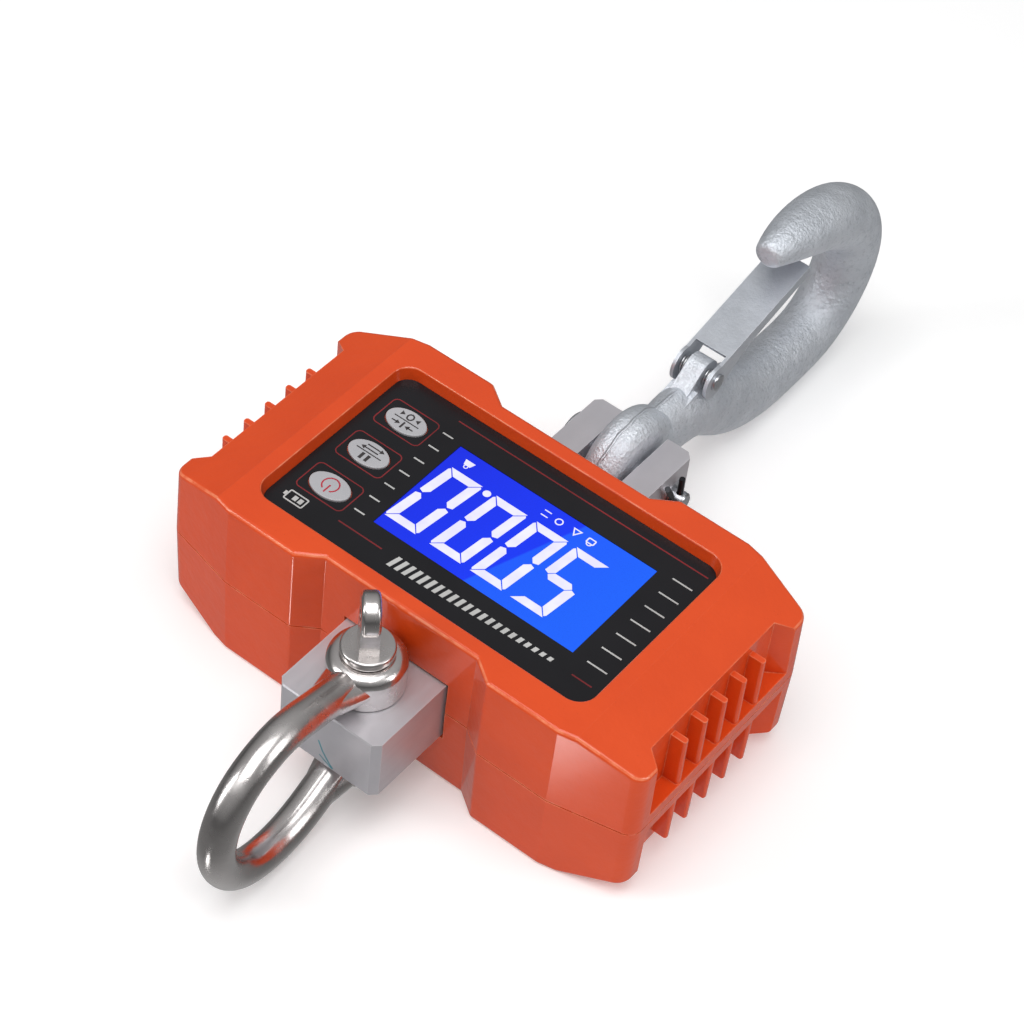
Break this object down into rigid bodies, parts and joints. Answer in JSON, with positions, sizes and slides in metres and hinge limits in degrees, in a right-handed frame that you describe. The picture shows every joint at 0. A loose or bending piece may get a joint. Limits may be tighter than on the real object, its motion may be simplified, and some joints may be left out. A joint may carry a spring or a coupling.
{
  "type": "hanging scale",
  "caption": "Compact hanging scale with a die-cast housing, backlit display, key pads, screw-pin bow shackle and a latched safety hook.",
  "frame": {"origin": "centre of the housing's flat back face, which is what the scale lies on", "axes": "+Z out of the display, +Y from the hook towards the shackle, +X towards the side of the display with the keys"},
  "size_m": [0.1814, 0.3497, 0.0854],
  "materials": {
    "orange_coat": "glossy powder coat",
    "seal_rubber": "matt",
    "dark_steel": "satin black oxide",
    "panel_black": "satin printed film",
    "lcd_blue": "clear gloss over a blue backlight",
    "module_plastic": "satin",
    "key_grey": "satin",
    "switch_black": "matt",
    "board_green": "solder mask gloss",
    "zinc_steel": "bright zinc plate",
    "cell_aluminium": "satin machined",
    "gauge_film": "polyimide film",
    "cover_plate": "satin",
    "lead_grey": "satin",
    "battery_wrap": "gloss sleeve",
    "contact_nickel": "bright nickel",
    "door_plastic": "fine texture",
    "shackle_stainless": "polished stainless",
    "clip_black": "black finish",
    "hook_zinc": "coarse zinc plate over a forging",
    "latch_zinc": "zinc plated sheet",
    "spring_steel": "bright"
  },
  "bodies": {
    "housing": {"front_shell": "orange_coat", "rear_shell": "orange_coat", "shell_gasket": "seal_rubber", "shell_screws": "dark_steel", "panel_overlay": "panel_black", "lcd_glass": "lcd_blue", "lcd_module": "module_plastic", "tact_switches": "switch_black", "main_board": "board_green", "board_chips": "switch_black", "buzzer": "switch_black", "board_screws": "zinc_steel", "load_cell": "cell_aluminium", "cell_screws": "dark_steel", "strain_gauges": "gauge_film", "gauge_covers": "cover_plate", "gauge_leads": "lead_grey", "battery_tray": "switch_black", "batteries": "battery_wrap", "battery_contacts": "contact_nickel", "hook_pin": "zinc_steel", "hook_clip": "clip_black"},
    "shackle": {"shackle_bow": "shackle_stainless"},
    "shackle_pin": {"shackle_pin": "shackle_stainless"},
    "hook": {"hook_body": "hook_zinc", "latch_spring": "spring_steel"},
    "latch": {"hook_latch": "latch_zinc", "latch_pin": "zinc_steel"},
    "key_power": {"key_power": "key_grey"},
    "key_hold": {"key_hold": "key_grey"},
    "key_tare": {"key_tare": "key_grey"},
    "battery_cover": {"battery_door": "door_plastic", "door_screws": "zinc_steel"}
  },
  "joints": [
    {"name": "shackle_swing", "type": "hinge", "parent": "housing", "child": "shackle", "pos_m": [0, 0.0575, 0.03295], "axis": [0, 0, 1], "range_deg": [-84, 84]},
    {"name": "shackle_pin_turn", "type": "hinge", "parent": "shackle", "child": "shackle_pin", "pos_m": [0, 0.0575, 0.03295], "axis": [0, 0, 1], "range_deg": [0, 720]},
    {"name": "hook_swing", "type": "hinge", "parent": "housing", "child": "hook", "pos_m": [0, -0.075, 0.03295], "axis": [1, 0, 0], "range_deg": [-80, 80]},
    {"name": "latch_open", "type": "hinge", "parent": "hook", "child": "latch", "pos_m": [0, -0.1134, 0.0483], "axis": [1, 0, 0], "range_deg": [0, 26], "stiffness_Nm_per_rad": 0.02, "springref_deg": -20.05},
    {"name": "key_power_press", "type": "slide", "parent": "housing", "child": "key_power", "axis": [0, 0, -1], "range_m": [0, 0.0005], "stiffness_N_per_m": 600, "springref_m": -0.0002},
    {"name": "key_hold_press", "type": "slide", "parent": "housing", "child": "key_hold", "axis": [0, 0, -1], "range_m": [0, 0.0005], "stiffness_N_per_m": 600, "springref_m": -0.0002},
    {"name": "key_tare_press", "type": "slide", "parent": "housing", "child": "key_tare", "axis": [0, 0, -1], "range_m": [0, 0.0005], "stiffness_N_per_m": 600, "springref_m": -0.0002},
    {"name": "battery_cover_lift", "type": "slide", "parent": "housing", "child": "battery_cover", "axis": [0, 0, -1], "range_m": [0, 0.02]}
  ]
}
